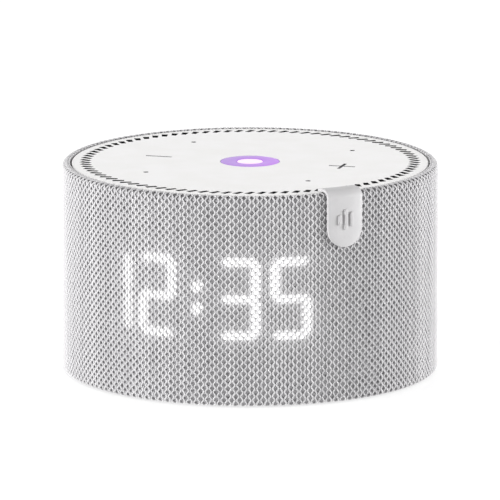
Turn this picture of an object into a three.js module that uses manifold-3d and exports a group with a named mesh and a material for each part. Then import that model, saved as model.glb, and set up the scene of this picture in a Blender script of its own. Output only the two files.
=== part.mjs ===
// A compact smart speaker with an LED clock behind its fabric: a knitted sleeve over a drum-shaped shell,
// a touch panel with a ring of vent slots on top, an upward-firing driver in a sealed cup, a curved segment
// display at the front, and a power inlet and a microphone switch at the rear.
// Millimetres, +Z up, origin under the middle of the foot. The clock faces -Y.
import * as THREE from 'three';
import { mergeVertices } from 'three/addons/utils/BufferGeometryUtils.js';
import Module from 'manifold-3d';

const wasm = await Module();
wasm.setup();

// ---------------------------------------------------------------- driving dimensions
const fitGap = 0.3; // between a piece and the opening or shell that it drops into
const seatGap = 0.1; // between two faces that rest on each other
const fine = 48; // facets round the drum
const coarse = 20; // facets round the inner rings

const sleeve = {
  radius: 49.4, top: 55.3, bottom: 0.3, thickness: 2,
  lipReach: 2.3, topRoll: 1.4, lipRoll: 0.5, hemRoll: 0.8,
};
const shell = { thickness: 1.2, slots: 24, slotWidth: 3, slotHeight: 6.5, slotTopGap: 4.5 };

const panel = { drop: 0.2, thickness: 1.5, edge: 0.4, skirtThickness: 0.8, skirtDepth: 3 };
const vents = { count: 90, length: 3, rimGap: 0.15, width: 1.6, skew: 35, meshThickness: 0.3, meshEdge: 0.6 };
const marks = { radius: 25, span: 7.1, stroke: 1, depth: 0.4 };
const lens = { radius: 7.7, flange: 0.9, flangeThickness: 0.5, coreRadius: 3.4, fit: 0.15 };
const microphone = { offset: 21.9, holeRadius: 0.6, width: 3, depth: 2.4, height: 0.9, gasketWall: 0.7 };
const lightLed = { count: 3, size: 1.6, height: 0.6, radius: 5 };

const touchBoard = { thickness: 1, space: 1.6, edge: 1.5 };
const tray = { thickness: 1.8, diffuserDepth: 5.4, diffuserRadius: 18, legRadius: 2.8 };

const tab = { azimuth: 45.2, width: 10, foot: 41.1, thickness: 0.7, reach: 4.6, reliefRise: 0.4 };
const tabBars = { heights: [2.6, 5.4, 3.8], width: 1, pitch: 1.7, middle: 48.3 };

const digit = {
  width: 11.2, height: 21.6, stroke: 3, gap: 0.5, middle: 28.4, centres: [-24.85, -11.05, 11.05, 24.85],
};
const colon = { radius: 1.3, rise: 2.95, offset: -0.25 };
const display = {
  film: 0.5, depth: 2.6, board: 0.6, led: 1.4, ledRise: 0.9, sideMargin: 3, endMargin: 2.2,
};

const chassis = { wall: 1.8, floor: 1.8, floorBottom: 12, legRadius: 3, legCircle: 36.5 };
const baffle = { thickness: 2, soundGap: 10.9, sealThickness: 0.6 };
const driver = {
  radius: 25, rim: 4.4, rimThickness: 1, depth: 21, backRadius: 16, poleRadius: 5.6, yokeThickness: 2,
  magnetHeight: 5.5, plateThickness: 2, magnetGap: 2.4, coneRadius: 15.5, coneWall: 0.6, coneLift: 5,
  capRadius: 9, capRise: 1.8, rubberWall: 0.5, gasketThickness: 0.4, spiderRise: 2.2, spiderMargin: 0.6,
};
const travel = { cone: 1.5, slider: 3 };

const base = { bottom: 0.7, thickness: 2, postRadius: 3.4, postHeight: 3.7 };
const foot = { innerRadius: 33, outerRadius: 42, height: 1.5 };
const board = { thickness: 1.6, edge: 1.5 };
const screw = { radius: 1, headRadius: 2, headHeight: 1.2, bore: 0.2, grip: 6 };

const socket = { width: 9, height: 3.3, length: 7.2, wall: 0.4, mouth: 48.2 };
const bezel = { width: 16, bottom: 5.2, top: 24.6, corner: 4 };
const slider = { z: 19.6, width: 4, height: 2.6, stem: 2, stemHeight: 1.6, plate: 0.4, recess: 0.1 };
const switchBody = { width: 9, height: 4.4, depth: 1.5 };
const shieldCan = { width: 22, depth: 18, height: 2 };
const ribbon = { thickness: 0.3, width: 8, turn: 0.4 };

// ---------------------------------------------------------------- sizes that follow from them
const sleeveInner = sleeve.radius - sleeve.thickness;
const lipRadius = sleeve.radius - sleeve.lipReach;
const shellOuter = sleeveInner - fitGap;
const shellInner = shellOuter - shell.thickness;

const panelTop = sleeve.top - panel.drop;
const panelUnder = panelTop - panel.thickness;
const panelRadius = lipRadius - fitGap;
const shellTop = panelUnder - fitGap;
const skirtOuter = shellInner - fitGap;
const skirtInner = skirtOuter - panel.skirtThickness;
const ventOuter = skirtInner - vents.rimGap;
const ventInner = ventOuter - vents.length;

const touchTop = panelUnder - touchBoard.space;
const touchUnder = touchTop - touchBoard.thickness;
const touchRadius = ventInner - touchBoard.edge;
const trayTop = touchUnder - seatGap;
const trayUnder = trayTop - tray.thickness;

const filmInner = shellOuter - display.film;
const guideOuter = filmInner - seatGap;
const guideInner = guideOuter - display.depth;
const flexOuter = guideInner - seatGap;
const flexInner = flexOuter - display.board;

const chassisOuter = flexInner - fitGap;
const chassisInner = chassisOuter - chassis.wall;
const floorTop = chassis.floorBottom + chassis.floor;
const baffleTop = trayUnder - baffle.soundGap;
const baffleUnder = baffleTop - baffle.thickness;
const cupTop = baffleUnder - baffle.sealThickness - 2 * seatGap;
const bossRadius = 3.6;
const bossCircle = chassisInner - bossRadius + 0.2; // the tray's screws go down into the cup's bosses
const trayScrewSeat = trayTop - screw.headHeight - seatGap;

const baseTop = base.bottom + base.thickness;
const boardUnder = baseTop + base.postHeight + seatGap;
const boardTop = boardUnder + board.thickness;
const socketZ = boardTop + seatGap + socket.height / 2;

const displayHalf = digit.centres.at(-1) + digit.width / 2 + display.sideMargin; // arc length on the sleeve
const displayHalfAngle = displayHalf / sleeve.radius;
const displayBottom = digit.middle - digit.height / 2 - display.endMargin;
const displayTop = digit.middle + digit.height / 2 + display.endMargin;

// ---------------------------------------------------------------- materials
const finish = (color, roughness, metalness = 0) =>
  new THREE.MeshStandardMaterial({ color, roughness, metalness });
const knit = finish(0xc4c3c4, 0.95);
const whitePlastic = finish(0xf1f0ef, 0.45);
const blackPlastic = finish(0x2c2c2e, 0.6);
const greyPlastic = finish(0x9b9b9d, 0.55);
const darkCloth = finish(0x3c3b3d, 0.95);
const purpleLens = finish(0xc48cf0, 0.3);
const clearLens = finish(0xfbe9ff, 0.3);
const silicone = finish(0xcfcecf, 0.6);
const rubber = finish(0x3a3a3b, 0.9);
const circuit = finish(0x1f5a3c, 0.6);
const steel = finish(0xb9babd, 0.35, 1);
const ferrite = finish(0x3b3b3e, 0.6, 0.6);
const paper = finish(0x222224, 0.9);
const copper = finish(0xb5713c, 0.4, 1);
const lightWhite = finish(0xf4f4f4, 0.5);
const amber = finish(0xc98a2b, 0.5);

// ---------------------------------------------------------------- shape helpers
/** A closed geometry as a manifold solid, its shared vertices merged. */
function solid(geometry) {
  const bare = geometry.clone();
  bare.deleteAttribute('normal');
  bare.deleteAttribute('uv');
  const merged = mergeVertices(bare, 1e-4);
  return new wasm.Manifold(new wasm.Mesh({
    numProp: 3,
    vertProperties: merged.attributes.position.array,
    triVerts: new Uint32Array(merged.index.array),
  }));
}

/** A manifold solid as a three.js geometry. */
function geometryOf(manifold) {
  const { vertProperties, triVerts } = manifold.getMesh();
  return new THREE.BufferGeometry()
    .setAttribute('position', new THREE.BufferAttribute(vertProperties, 3))
    .setIndex(new THREE.BufferAttribute(triVerts, 1));
}

const cut = (body, tools) =>
  geometryOf(tools.reduce((left, tool) => left.subtract(solid(tool)), solid(body)));
const join = (body, more) =>
  geometryOf(more.reduce((whole, piece) => whole.add(solid(piece)), solid(body)));
const overlapOf = (a, b) => geometryOf(solid(a).intersect(solid(b)));

/** A profile of [radius, z] points, outside going up, turned about Z. Azimuths grow from -Y towards +X. */
function turned(profile, facets = coarse) {
  const points = profile.map(([r, z]) => new THREE.Vector2(r, z));
  return new THREE.LatheGeometry(points, facets).rotateX(Math.PI / 2);
}

/** A ring of rectangular section. */
function ring(inner, outer, bottom, top, facets = coarse) {
  return turned([[inner, bottom], [outer, bottom], [outer, top], [inner, top], [inner, bottom]], facets);
}

/** A solid disc. */
const disc = (radius, bottom, top, facets = coarse) =>
  turned([[0, bottom], [radius, bottom], [radius, top], [0, top]], facets);

/** Points of an arc in a profile, from one angle to another, in degrees. */
function arc(cx, cz, radius, from, to, steps) {
  return Array.from({ length: steps + 1 }, (_, i) => {
    const a = THREE.MathUtils.degToRad(from + (to - from) * i / steps);
    return [cx + radius * Math.cos(a), cz + radius * Math.sin(a)];
  });
}

const box = (x, y, z) => new THREE.BoxGeometry(x, y, z);

/** A circle about the origin as a polygon. */
const circleShape = (radius, sides) => new THREE.Shape(
  arc(0, 0, radius, 0, 360 * (sides - 1) / sides, sides - 1).map(([x, y]) => new THREE.Vector2(x, y)));

/** A rounded rectangle about the origin. */
function roundedOutline(width, height, corner, steps = 4) {
  const x = width / 2 - corner;
  const y = height / 2 - corner;
  const corners = [[x, y, 0], [-x, y, 90], [-x, -y, 180], [x, -y, 270]];
  return new THREE.Shape(corners.flatMap(([cx, cy, from]) =>
    arc(cx, cy, corner, from, from + 90, steps).map(([px, py]) => new THREE.Vector2(px, py))));
}

/** An outline drawn as seen from outside the drum, run radially from one radius to another. */
function radialPrism(outline, inner, outer, azimuth, z) {
  return new THREE.ExtrudeGeometry(outline, { depth: outer - inner, bevelEnabled: false })
    .rotateX(Math.PI / 2) // the outline's y becomes z, and its depth runs to -Y
    .translate(0, -inner, z)
    .rotateZ(azimuth);
}

/** Puts a geometry, or a set of them, at a distance from the axis and an azimuth. */
const around = (geometry, azimuth) => geometry.clone().rotateZ(azimuth);
const corners = [45, 135, 225, 315].map(THREE.MathUtils.degToRad);
const eighth = Math.PI / 4;
const rear = Math.PI;

/** A round bore or peg at each of the four corners, or turned an eighth from them. */
const atCorners = (geometry, circle, turn = 0) =>
  corners.map((a) => geometry.clone().translate(0, -circle, 0).rotateZ(a + turn));

/** The room for a screw's head, between two heights. */
const screwPocket = (from, to) => disc(screw.headRadius + fitGap, from, to, 12);

const tabAzimuth = THREE.MathUtils.degToRad(tab.azimuth);

const speaker = new THREE.Group();

/** Adds a named piece to a group. */
function piece(name, geometry, material, parent = speaker) {
  const mesh = new THREE.Mesh(geometry, material);
  mesh.name = name;
  parent.add(mesh);
  return mesh;
}

// ---------------------------------------------------------------- outer covers
const bezelMiddle = (bezel.bottom + bezel.top) / 2;
const bezelHeight = bezel.top - bezel.bottom;
const bezelHole = radialPrism(
  roundedOutline(bezel.width + 2 * fitGap, bezelHeight + 2 * fitGap, bezel.corner + fitGap),
  shellInner, sleeve.radius + 1, rear, bezelMiddle);
const inletOpening = radialPrism(
  roundedOutline(socket.width + 2 * fitGap, socket.height + 2 * fitGap, socket.height / 2),
  socket.mouth - socket.length - 1, sleeve.radius + 3, rear, socketZ);

function fabricSleeve() {
  const wall = turned([
    [sleeveInner, sleeve.bottom],
    ...arc(sleeve.radius - sleeve.hemRoll, sleeve.bottom + sleeve.hemRoll, sleeve.hemRoll, -90, 0, 2),
    ...arc(sleeve.radius - sleeve.topRoll, sleeve.top - sleeve.topRoll, sleeve.topRoll, 0, 90, 4),
    ...arc(lipRadius + sleeve.lipRoll, sleeve.top - sleeve.lipRoll, sleeve.lipRoll, 90, 180, 2),
    [lipRadius, shellTop + fitGap],
    [sleeveInner, shellTop + fitGap],
    [sleeveInner, sleeve.bottom],
  ], fine);
  return cut(wall, [bezelHole]);
}

/** The shell under the fabric, with the clock's window, the rear openings and a row of sound slots. */
function grilleShell() {
  const slotTop = shellTop - shell.slotTopGap;
  const soundSlot = box(shell.slotWidth, 6, shell.slotHeight)
    .translate(0, -shellOuter, slotTop - shell.slotHeight / 2);
  const soundSlots = Array.from({ length: shell.slots }, (_, i) =>
    around(soundSlot, (i + 0.5) * 2 * Math.PI / shell.slots));
  const stemHole = box(slider.stem + travel.slider + 2 * fitGap, 8, slider.stemHeight + 2 * fitGap)
    .translate(0, shellOuter, slider.z);
  const window = displaySector(shellInner - 1, shellOuter + 1, fitGap);
  return cut(ring(shellInner, shellOuter, sleeve.bottom + fitGap, shellTop, fine),
    [window, inletOpening, stemHole, ...soundSlots]);
}

/** The sector of the drum that the clock fills, between two radii, grown all round by a margin. */
function displaySector(inner, outer, margin = 0) {
  const half = displayHalfAngle + margin / outer;
  const steps = 12;
  const edge = (radius, from, to) => Array.from({ length: steps + 1 }, (_, i) => {
    const a = from + (to - from) * i / steps - Math.PI / 2;
    return new THREE.Vector2(radius * Math.cos(a), radius * Math.sin(a));
  });
  const outline = new THREE.Shape([...edge(outer, -half, half), ...edge(inner, half, -half)]);
  const depth = displayTop - displayBottom + 2 * margin;
  return new THREE.ExtrudeGeometry(outline, { depth, bevelEnabled: false })
    .translate(0, 0, displayBottom - margin);
}

/** The silicone tab: it hooks over the rim and hangs down the fabric, with three raised level bars. */
function labelTab() {
  const inner = sleeve.radius + seatGap;
  const outer = inner + tab.thickness;
  const over = sleeve.top + seatGap;
  const on = panelTop + seatGap; // the tab's underside where it lies on the panel
  const bend = [sleeve.radius - sleeve.topRoll, sleeve.top - sleeve.topRoll];
  const roll = sleeve.topRoll + seatGap;
  const reachRadius = sleeve.radius - tab.reach;
  const hook = turned([
    [inner, 0], [outer, 0],
    ...arc(...bend, roll + tab.thickness, 0, 90, 4),
    [lipRadius - fitGap, over + tab.thickness],
    [reachRadius, on + tab.thickness],
    [reachRadius, on],
    [lipRadius - fitGap, on],
    [lipRadius - fitGap, over],
    ...arc(...bend, roll, 90, 0, 4),
    [inner, 0],
  ], 120);
  const half = tab.width / 2;
  const bottomMiddle = tab.foot + half;
  const outline = new THREE.Shape([
    new THREE.Vector2(half, sleeve.top + 5), new THREE.Vector2(-half, sleeve.top + 5),
    ...arc(0, bottomMiddle, half, 180, 360, 12).map(([x, z]) => new THREE.Vector2(x, z)),
  ]);
  const strap = overlapOf(hook, radialPrism(outline, reachRadius - 2, outer + 2, tabAzimuth, 0));
  const relief = tabBars.heights.map((height, i) => {
    const bar = roundedOutline(tabBars.width, height, tabBars.width / 2, 3);
    const sideways = (i - (tabBars.heights.length - 1) / 2) * tabBars.pitch;
    const depth = tab.thickness / 2 + tab.reliefRise;
    return new THREE.ExtrudeGeometry(bar, { depth, bevelEnabled: false })
      .rotateX(Math.PI / 2)
      .translate(sideways, -(inner + tab.thickness / 2), tabBars.middle)
      .rotateZ(tabAzimuth);
  });
  return join(strap, relief);
}

/** The rear plate round the inlet and the switch. */
function rearBezel() {
  const outline = roundedOutline(bezel.width, bezelHeight, bezel.corner);
  const plate = overlapOf(ring(sleeveInner, sleeve.radius, bezel.bottom - 1, bezel.top + 1, fine),
    radialPrism(outline, sleeveInner - 1, sleeve.radius + 1, rear, bezelMiddle));
  const slot = radialPrism(
    roundedOutline(slider.width + travel.slider + 2 * fitGap, slider.height + 2 * fitGap, 0.8, 2),
    40, 52, rear, slider.z);
  return cut(plate, [inletOpening, slot]);
}

piece('fabric_sleeve', fabricSleeve(), knit);
piece('grille_shell', grilleShell(), greyPlastic);
piece('label_tab', labelTab(), silicone);
piece('rear_bezel', rearBezel(), whitePlastic);

// ---------------------------------------------------------------- top panel and what hangs under it
const top = new THREE.Group();
speaker.add(top);

/** The vent slots as one cutter: skewed bars trimmed to the ring that they lie in. */
function ventSlots() {
  const middle = (ventInner + ventOuter) / 2;
  const bar = box(vents.width, 12, 4)
    .rotateZ(-THREE.MathUtils.degToRad(vents.skew))
    .translate(0, -middle, panelTop - panel.thickness / 2);
  const band = solid(ring(ventInner, ventOuter, panelUnder - 1, panelTop + 1, vents.count));
  return Array.from({ length: vents.count }, (_, i) => {
    const slot = solid(around(bar, i * 2 * Math.PI / vents.count)).intersect(band);
    return geometryOf(slot);
  });
}

const microphoneSpots = corners.map((a) => [
  Math.SQRT2 * microphone.offset * Math.sin(a), -Math.SQRT2 * microphone.offset * Math.cos(a)]);

function topPanel() {
  const plate = turned([
    [0, panelUnder], [skirtInner, panelUnder],
    [skirtInner, panelUnder - panel.skirtDepth], [skirtOuter, panelUnder - panel.skirtDepth],
    [skirtOuter, panelUnder], [panelRadius, panelUnder],
    [panelRadius, panelTop - panel.edge], [panelRadius - panel.edge, panelTop], [0, panelTop],
  ], fine);
  const engraved = (width, length, x) =>
    box(width, length, 2 * marks.depth).translate(x, 0, panelTop);
  const minus = engraved(marks.span, marks.stroke, -marks.radius);
  const plus = join(engraved(marks.span, marks.stroke, marks.radius),
    [engraved(marks.stroke, marks.span, marks.radius)]);
  const lensHole = disc(lens.radius + lens.fit, panelUnder - 1, panelTop + 1);
  const soundHoles = microphoneSpots.map(([x, y]) =>
    disc(microphone.holeRadius, panelUnder - 1, panelTop + 1, 10).translate(x, y, 0));
  return cut(plate, [minus, plus, lensHole, ...soundHoles, ...ventSlots()]);
}

/** The lit disc in the middle of the panel, held from below by its flange. */
function lightLens() {
  const flangeTop = panelUnder - seatGap;
  const flangeBottom = flangeTop - lens.flangeThickness;
  const bore = lens.coreRadius + lens.fit;
  return turned([
    [bore, flangeBottom], [lens.radius + lens.flange, flangeBottom], [lens.radius + lens.flange, flangeTop],
    [lens.radius, flangeTop], [lens.radius, panelTop], [bore, panelTop], [bore, flangeBottom],
  ]);
}

/** The tray that carries the touch board and throws the driver's sound outwards. */
function upperTray() {
  const plate = turned([
    [0, trayUnder - tray.diffuserDepth], [tray.diffuserRadius / 3, trayUnder - tray.diffuserDepth * 0.55],
    [tray.diffuserRadius, trayUnder], [touchRadius, trayUnder], [touchRadius, trayTop], [0, trayTop],
  ], coarse);
  const legs = atCorners(
    disc(tray.legRadius, baffleTop + seatGap, trayTop, 12), bossCircle, eighth);
  const bores = [
    disc(screw.radius + screw.bore, baffleTop - 1, trayTop + 1, 8), screwPocket(trayScrewSeat, trayTop + 1),
  ].flatMap((bore) => atCorners(bore, bossCircle, eighth));
  return cut(join(plate, legs), bores);
}

const lensUnder = panelUnder - seatGap - lens.flangeThickness;
piece('top_panel', topPanel(), whitePlastic, top);
piece('vent_mesh', ring(ventInner - vents.meshEdge, skirtInner - seatGap,
  panelUnder - seatGap - vents.meshThickness, panelUnder - seatGap, fine), darkCloth, top);
piece('light_lens', lightLens(), purpleLens, top);
piece('light_core', disc(lens.coreRadius, lensUnder, panelTop), clearLens, top);
piece('light_cup', ring(lens.radius - 0.4, lens.radius + lens.flange,
  touchTop + seatGap, lensUnder - seatGap), lightWhite, top);
piece('touch_board', disc(touchRadius, touchUnder, touchTop), circuit, top);
piece('upper_tray', upperTray(), blackPlastic, top);

for (let i = 0; i < lightLed.count; i++) {
  const spot = new THREE.Group();
  spot.rotation.z = i * 2 * Math.PI / lightLed.count;
  top.add(spot);
  const cube = box(lightLed.size, lightLed.size, lightLed.height);
  const led = piece(`light_led_${i + 1}`, cube, lightWhite, spot);
  led.position.set(0, -lightLed.radius, touchTop + seatGap + lightLed.height / 2);
}

microphoneSpots.forEach(([x, y], i) => {
  const can = box(microphone.width, microphone.depth, microphone.height);
  const capsule = piece(`microphone_${i + 1}`, can, steel, top);
  capsule.position.set(x, y, touchTop + seatGap + microphone.height / 2);
  const gasketInner = microphone.holeRadius + 0.2;
  const gasketBottom = touchTop + 2 * seatGap + microphone.height;
  const tube = ring(gasketInner, gasketInner + microphone.gasketWall, gasketBottom, panelUnder - seatGap, 10);
  const gasket = piece(`microphone_gasket_${i + 1}`, tube, rubber, top);
  gasket.position.set(x, y, 0);
});

// ---------------------------------------------------------------- clock display
const clock = new THREE.Group();
speaker.add(clock);

/** A pointed bar of a seven-segment figure, lying along x. */
function segmentOutline(length, stroke) {
  const x = length / 2;
  const y = stroke / 2;
  return new THREE.Shape([[-x, 0], [-x + y, -y], [x - y, -y], [x, 0], [x - y, y], [-x + y, y]]
    .map(([px, py]) => new THREE.Vector2(px, py)));
}

/** Centres and directions of a figure's seven segments, about the figure's own middle. */
function segmentPlaces() {
  const across = digit.width / 2 - digit.stroke / 2;
  const up = (digit.height - digit.stroke) / 2;
  return [
    { x: 0, z: up, flat: true }, { x: 0, z: 0, flat: true }, { x: 0, z: -up, flat: true },
    { x: -across, z: up / 2, flat: false }, { x: across, z: up / 2, flat: false },
    { x: -across, z: -up / 2, flat: false }, { x: across, z: -up / 2, flat: false },
  ];
}

const lamps = digit.centres.flatMap((centre) =>
  segmentPlaces().map(({ x, z, flat }) => ({ arc: centre + x, z: digit.middle + z, flat })));
const dots = [colon.rise, -colon.rise].map((rise) => ({ arc: colon.offset, z: digit.middle + rise }));
const azimuthOf = (arcLength) => arcLength / sleeve.radius;

/** The opaque light guide: a curved wall with a pocket for each segment and each colon dot. */
function lightGuide() {
  const across = digit.width - digit.stroke - 2 * digit.gap;
  const tall = (digit.height - digit.stroke) / 2 - 2 * digit.gap;
  const reach = [guideInner - 2, guideOuter + 2];
  const pockets = lamps.map(({ arc: place, z, flat }) => {
    const outline = segmentOutline(flat ? across + digit.gap : tall + digit.gap, digit.stroke - digit.gap);
    const points = outline.getPoints();
    const upright = new THREE.Shape(points.map((p) => new THREE.Vector2(-p.y, p.x)));
    return radialPrism(flat ? outline : upright, ...reach, azimuthOf(place), z);
  });
  const round = circleShape(colon.radius, 12);
  const dotPockets = dots.map(({ arc: place, z }) => radialPrism(round, ...reach, azimuthOf(place), z));
  return cut(displaySector(guideInner, guideOuter), [...pockets, ...dotPockets]);
}

/** The flexible board behind the guide, with one lamp in each pocket. */
function displayFlex() {
  const bump = box(display.led, display.ledRise + display.board / 2, display.led);
  const depth = flexOuter + (display.ledRise - display.board / 2) / 2;
  const bumps = [...lamps, ...dots].map(({ arc: place, z }) =>
    bump.clone().translate(0, -depth, z).rotateZ(azimuthOf(place)));
  return join(displaySector(flexInner, flexOuter), bumps);
}

piece('display_film', displaySector(filmInner, shellOuter), lightWhite, clock);
piece('display_light_guide', lightGuide(), lightWhite, clock);
piece('display_board', displayFlex(), circuit, clock);

// ---------------------------------------------------------------- sealed cup, baffle and driver
const acoustic = new THREE.Group();
speaker.add(acoustic);

const leadSpot = [-22, 6]; // where the driver's lead passes the cup's floor
const leadRadius = 0.9;

function chassisCup() {
  const cup = turned([
    [0, chassis.floorBottom], [chassisOuter, chassis.floorBottom], [chassisOuter, cupTop],
    [chassisInner, cupTop], [chassisInner, floorTop], [0, floorTop],
  ]);
  const leg = disc(chassis.legRadius, boardTop + seatGap, chassis.floorBottom + 1, 12);
  const bosses = atCorners(disc(bossRadius, floorTop - 1, cupTop, 12), bossCircle, eighth);
  const legBores = atCorners(disc(screw.radius + screw.bore, 0, floorTop - 0.6, 8), chassis.legCircle);
  const bossBore = disc(screw.radius + screw.bore, cupTop - screw.grip - 1, cupTop + 1, 8);
  const leadHole = disc(leadRadius + fitGap, 0, floorTop + 1, 12).translate(...leadSpot, 0);
  return cut(join(cup, [...atCorners(leg, chassis.legCircle), ...bosses]),
    [...legBores, ...atCorners(bossBore, bossCircle, eighth), leadHole]);
}

const rimMiddle = driver.radius - driver.rim / 2;
function speakerBaffle() {
  const plate = ring(driver.radius - driver.rim, chassisOuter, baffleUnder, baffleTop);
  const bore = disc(screw.radius + screw.bore, baffleUnder - 1, baffleTop + 1, 8);
  return cut(plate, [...atCorners(bore, bossCircle, eighth), ...atCorners(bore, rimMiddle)]);
}

/** A pan-head screw, its head upwards on z = 0 and its shank below. */
function screwSolid(length) {
  return turned([[0, -length], [screw.radius, -length], [screw.radius, 0],
    [screw.headRadius, 0], [screw.headRadius, screw.headHeight * 0.6],
    [screw.headRadius * 0.6, screw.headHeight], [0, screw.headHeight]], 8);
}

/** Four screws of one kind at the corners of a circle, heads up, or heads down. */
function screws(name, length, circle, z, { turn = 0, headsDown = false } = {}) {
  corners.forEach((a, i) => {
    const spot = new THREE.Group();
    spot.rotation.z = a + turn;
    acoustic.add(spot);
    const one = piece(`${name}_${i + 1}`, screwSolid(length), steel, spot);
    one.position.set(0, -circle, z);
    if (headsDown) one.rotation.x = Math.PI;
  });
}

piece('chassis_cup', chassisCup(), blackPlastic, acoustic);
piece('chamber_seal', ring(chassisInner + 0.2, chassisOuter - 0.2, cupTop + seatGap, baffleUnder - seatGap),
  rubber, acoustic);
piece('speaker_baffle', speakerBaffle(), blackPlastic, acoustic);
const trayScrewHead = trayScrewSeat + seatGap;
screws('tray_screw', trayScrewHead - (cupTop - screw.grip), bossCircle, trayScrewHead, { turn: eighth });

const gasketTop = baffleTop + seatGap + driver.gasketThickness;
const rimUnder = gasketTop + seatGap;
const rimTop = rimUnder + driver.rimThickness;
const driverBottom = rimUnder - driver.depth; // the back of the yoke
const yokeTop = driverBottom + driver.yokeThickness;
const magnetTop = yokeTop + seatGap + driver.magnetHeight;
const frontPlateTop = magnetTop + seatGap + driver.plateThickness;
const basketFloor = frontPlateTop + seatGap;
const coilInner = driver.poleRadius + fitGap;
const coilOuter = coilInner + 0.4;
const coneBottom = basketFloor + driver.coneLift;
const coneTop = rimTop + seatGap;
const coneWall = driver.coneWall;
const throatRadius = coilOuter + fitGap;
const coneSlope = (coneTop - coneBottom - 1) / (driver.coneRadius - coneWall - throatRadius);
const basketThroat = driver.radius - driver.rim - fitGap;

function speakerGasket() {
  const seal = ring(driver.radius - driver.rim, driver.radius, baffleTop + seatGap, gasketTop);
  return cut(seal, atCorners(disc(screw.radius + screw.bore, baffleTop, gasketTop + 1, 8), rimMiddle));
}

/** The pressed frame: a screwed rim, sloping arms and a floor on the magnet's front plate. */
function speakerBasket() {
  const floorInner = coilOuter + 1;
  const shape = turned([
    [floorInner, basketFloor], [driver.backRadius, basketFloor], [basketThroat, rimUnder],
    [driver.radius - seatGap, rimUnder], [driver.radius - seatGap, rimTop], [basketThroat - 0.6, rimTop],
    [driver.backRadius - 1, basketFloor + 1.2], [floorInner, basketFloor + 1.2], [floorInner, basketFloor],
  ]);
  const window = box(9, 9, 5).translate(0, -(driver.backRadius + 3.5), (basketFloor + rimUnder) / 2 + 0.4);
  const bore = disc(screw.radius + screw.bore, rimUnder - 1, rimTop + 1, 8);
  return cut(shape, [...atCorners(window, 0, eighth), ...atCorners(bore, rimMiddle)]);
}

/** The back plate with the pole that stands in the voice coil. */
function speakerYoke() {
  const poleTop = frontPlateTop + 0.2;
  return turned([[0, driverBottom], [driver.backRadius - 1, driverBottom], [driver.backRadius - 1, yokeTop],
    [driver.poleRadius, yokeTop], [driver.poleRadius, poleTop], [0, poleTop]]);
}

function speakerCone() {
  return turned([
    [throatRadius, coneBottom], [throatRadius + coneWall, coneBottom],
    [driver.coneRadius, coneTop - coneWall], [driver.coneRadius, coneTop],
    [driver.coneRadius - coneWall, coneTop], [throatRadius, coneBottom + 1], [throatRadius, coneBottom],
  ]);
}

/** The shallow dome over the coil, standing on the cone's slope. */
function dustCap() {
  const edge = driver.capRadius;
  const rest = coneBottom + 1 + coneSlope * (edge - throatRadius) + seatGap;
  const shoulder = [edge * 0.6, rest + driver.capRise * 2 / 3];
  const crown = rest + driver.capRise;
  const wall = 0.5;
  return turned([[0, crown], shoulder, [edge, rest],
    [edge, rest + wall], [shoulder[0], shoulder[1] + wall], [0, crown + wall]]);
}

/** The half-roll of rubber from the cone's edge to the rim, with its glued flange. */
function speakerSurround() {
  const inner = driver.coneRadius + seatGap;
  const outer = basketThroat - 0.6;
  const middle = (inner + outer) / 2;
  const roll = (outer - inner) / 2;
  const wall = driver.rubberWall;
  return turned([
    [outer - wall, coneTop], [outer + wall, coneTop], [outer + wall, coneTop + wall],
    ...arc(middle, coneTop + wall, roll, 0, 180, 3), [inner, coneTop], [inner + wall, coneTop],
    ...arc(middle, coneTop + wall, roll - wall, 180, 0, 3), [outer - wall, coneTop],
  ]);
}

/** The corrugated cloth that centres the coil. */
function spider() {
  const inner = coilOuter + seatGap;
  const steps = 5;
  const wave = Array.from({ length: steps + 1 }, (_, i) =>
    [inner + (driver.backRadius - driver.spiderMargin - inner) * i / steps,
      basketFloor + driver.spiderRise + (i % 2) * 0.5]);
  const upper = wave.map(([r, z]) => [r, z + 0.4]).reverse();
  return turned([...wave, ...upper, wave[0]]);
}

piece('speaker_gasket', speakerGasket(), rubber, acoustic);
piece('speaker_basket', speakerBasket(), steel, acoustic);
piece('speaker_yoke', speakerYoke(), steel, acoustic);
const magnet = ring(driver.poleRadius + driver.magnetGap, driver.backRadius, yokeTop + seatGap, magnetTop);
piece('speaker_magnet', magnet, ferrite, acoustic);
const frontPlate = ring(coilOuter + fitGap, driver.backRadius - 1, magnetTop + seatGap, frontPlateTop);
piece('speaker_front_plate', frontPlate, steel, acoustic);
const coil = ring(coilInner, coilOuter, yokeTop + travel.cone + 1.2, coneBottom + 1.6);
piece('voice_coil', coil, copper, acoustic);
piece('speaker_cone', speakerCone(), paper, acoustic);
piece('dust_cap', dustCap(), paper, acoustic);
piece('speaker_surround', speakerSurround(), rubber, acoustic);
piece('speaker_spider', spider(), amber, acoustic);
screws('speaker_screw', 3 + baffle.thickness, rimMiddle, rimTop + seatGap);

// ---------------------------------------------------------------- base, board, inlet and switch
const bottom = new THREE.Group();
speaker.add(bottom);

const grooveTop = foot.height + seatGap;
const baseScrewSeat = grooveTop + seatGap + screw.headHeight;

/** The bottom cover: a groove for the foot, and four posts whose screws start under the foot. */
function baseCover() {
  const grooveInner = foot.innerRadius - fitGap;
  const grooveOuter = foot.outerRadius + fitGap;
  const edge = shellInner - fitGap;
  const plate = turned([
    [0, base.bottom], [grooveInner, base.bottom], [grooveInner, grooveTop], [grooveOuter, grooveTop],
    [grooveOuter, base.bottom], [edge, base.bottom], [edge, baseTop], [0, baseTop],
  ], fine);
  const post = disc(base.postRadius, baseTop - 0.5, boardUnder - seatGap, 12);
  const bores = [disc(screw.radius + screw.bore, 0, boardUnder, 8), screwPocket(0, baseScrewSeat + seatGap)]
    .flatMap((bore) => atCorners(bore, chassis.legCircle));
  return cut(join(plate, atCorners(post, chassis.legCircle)), bores);
}

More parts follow.
